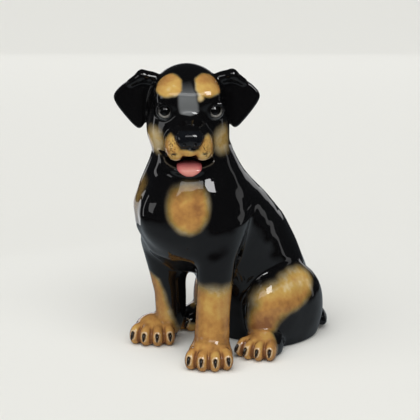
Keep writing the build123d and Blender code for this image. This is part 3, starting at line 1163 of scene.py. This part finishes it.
def make_skin():
    """The sculpted skin: meshed more finely on the face and paws, cut into its pieces and painted."""
    xs = ruler(-95, [(100, FACE_STEP * 1.1)])
    ys = ruler(-125, [(20, FACE_STEP * 1.1), (125, BODY_STEP)])
    zs = ruler(-3.3, [(34, PAW_STEP), (190, BODY_STEP), (296, FACE_STEP)])
    vertices, quads = surface_net(sampled(xs, ys, zs), xs, ys, zs)
    vertices = settled(vertices)
    triangles = triangles_of(vertices, quads)
    triangles = triangles[largest(triangles)]
    gaps = in_chunks(vertices, lambda _, parts: np.stack([parts[name] for name in SEAM_ORDER]))
    fields = dict(zip(SEAM_ORDER, np.concatenate(gaps, axis=1).astype(float)))
    vertices, pieces = divided(vertices, triangles, fields)
    slope = gradient(vertices)
    normals = slope / np.maximum(np.linalg.norm(slope, axis=1), 1e-6)[:, None]
    layers = markings_and_painted_light(vertices, fields)
    # How enclosed each point is, from how near the skin lies 4 mm out along its normal: painted shade for
    # the hollows
    layers["hollow_shade"] = np.clip(1 - distance(vertices + normals * 4) / 3.4, 0, 1)
    dabs, rims = claw_marks(vertices)
    layers["rim"] = np.maximum(layers["rim"], rims)
    layers["ink"] = np.maximum(layers["ink"], dabs)
    for name, faces in pieces.items():
        thing = closed_mesh(name + "_glazed", vertices, normals, faces, layers)
        paint = NOSE_PAINT if name == "nose" else SKIN_PAINT
        finished(thing, name, paint)


make_skin()
make_eye(1, "left_eye")
make_eye(-1, "right_eye")
make_tongue()
for name, place in PAWS.items():
    make_claws(name.replace("hind_paw", "hind") + "_claws", place)


# ---------------------------------------------------------------------------------------------------------
# Camera, floor and studio light, in metres
# ---------------------------------------------------------------------------------------------------------
VIEW_AZIMUTH, VIEW_ELEVATION, VIEW_DISTANCE = math.radians(45), math.radians(14.5), 1.4
LENS, SENSOR = 120.0, 36.0
BACK = Vector((
    math.sin(VIEW_AZIMUTH) * math.cos(VIEW_ELEVATION),
    -math.cos(VIEW_AZIMUTH) * math.cos(VIEW_ELEVATION),
    math.sin(VIEW_ELEVATION),
))
RIGHT = Vector((math.cos(VIEW_AZIMUTH), math.sin(VIEW_AZIMUTH), 0))
UP = BACK.cross(RIGHT)
CENTRE = Vector((np.array([22.5, -36.0, 140.0]) + ROW_SHIFT) * MM)
AIM = CENTRE - RIGHT * 0.009 + UP * 0.007


def aimed(thing, place, target):
    """A camera or light put in its place and pointed at its target."""
    thing.location = place
    thing.rotation_euler = (target - place).to_track_quat("-Z", "Y").to_euler()
    bpy.context.collection.objects.link(thing)
    return thing


def make_camera():
    data = bpy.data.cameras.new("camera")
    data.lens, data.sensor_width = LENS, SENSOR
    data.clip_start, data.clip_end = 0.05, 60
    camera = bpy.data.objects.new("camera", data)
    bpy.context.scene.camera = aimed(camera, CENTRE + BACK * VIEW_DISTANCE, AIM)


def flat_material(name, colour, roughness):
    material = bpy.data.materials.new(name)
    material.use_nodes = True
    shader = material.node_tree.nodes["Principled BSDF"]
    shader.inputs["Base Color"].default_value = colour
    shader.inputs["Roughness"].default_value = roughness
    return material


def make_disc(name, radius, height, material, corners=96):
    """A flat disc of the studio, which is not part of the figurine."""
    angles = [2 * math.pi * n / corners for n in range(corners)]
    points = [(radius * math.cos(angle), radius * math.sin(angle), height) for angle in angles]
    mesh = bpy.data.meshes.new(name)
    mesh.from_pydata(points, [], [tuple(range(corners))])
    mesh.materials.append(material)
    disc = bpy.data.objects.new(name, mesh)
    bpy.context.collection.objects.link(disc)
    return disc


def placed_light(data, azimuth, elevation, distance_away):
    """A light by its direction from the figurine: azimuth 0 is towards the camera, positive to its right."""
    a, e = VIEW_AZIMUTH + math.radians(azimuth), math.radians(elevation)
    out = Vector((math.sin(a) * math.cos(e), -math.cos(a) * math.cos(e), math.sin(e)))
    light = aimed(bpy.data.objects.new(data.name, data), CENTRE + out * distance_away, CENTRE)
    light.visible_camera = False
    return light


def softbox(name, azimuth, elevation, distance_away, width, height, radiance):
    """A rectangular panel that only the glaze mirrors; the soft sky does the lighting."""
    data = bpy.data.lights.new(name, "AREA")
    data.shape, data.size, data.size_y = "RECTANGLE", width, height
    data.energy = radiance * width * height * math.pi
    light = placed_light(data, azimuth, elevation, distance_away)
    light.visible_diffuse = False


def soft_sky(name, azimuth, elevation, strength, spread):
    """Light from a wide patch of sky, as wide as spread in degrees, that the glaze doesn't mirror."""
    data = bpy.data.lights.new(name, "SUN")
    data.energy, data.angle = strength, math.radians(spread)
    placed_light(data, azimuth, elevation, 3.0).visible_glossy = False


def make_paper_glow():
    """What the glaze mirrors of the white paper: a dim disc round the figurine, fading towards its edge."""
    nodes = Nodes("paper_seen_in_glaze")
    away = nodes.add("ShaderNodeVectorMath", {0: nodes.place}, operation="LENGTH").outputs["Value"]
    stops = [(0.0, (0.27, 0.30, 0.32)), (0.34, (0.25, 0.28, 0.30)), (0.52, (0.02, 0.02, 0.02))]
    grey = nodes.ramp(away, stops)
    nodes.set(Base_Color=grey, Roughness=0.9, Specular_IOR_Level=0.0)
    disc = make_disc("paper_glow", 0.6, -0.0003, nodes.material)
    disc.visible_camera = disc.visible_diffuse = disc.visible_shadow = False


def make_studio():
    paper = flat_material("paper", (0.81, 0.805, 0.76, 1), 0.8)
    make_disc("floor", 30, -0.0006, paper).visible_glossy = False
    make_paper_glow()
    world = bpy.data.worlds.new("room")
    world.use_nodes = True
    world.node_tree.nodes["Background"].inputs["Color"].default_value = (0.80, 0.88, 1.0, 1)
    world.node_tree.nodes["Background"].inputs["Strength"].default_value = 0.03
    bpy.context.scene.world = world
    soft_sky("sky", -25, 58, 3.25, 80)
    soft_sky("fill", 30, 25, 0.9, 60)
    softbox("window", 38, 38, 1.0, 0.36, 0.42, 12)
    softbox("wall", 0, 36, 1.5, 1.1, 0.5, 2.8)
    softbox("left_low", -68, 7, 1.2, 0.35, 0.35, 1.6)
    softbox("right_strip", 108, 6, 1.3, 0.14, 0.8, 0.6)
    softbox("left_behind", -153, -12, 0.45, 0.35, 0.14, 0.9)
    softbox("left_strip", -104, 3, 1.3, 0.16, 0.8, 1.7)
    softbox("backdrop", 180, 6, 2.2, 3.2, 0.7, 0.7)


make_camera()
make_studio()
bpy.context.scene.view_settings.view_transform = "Standard"
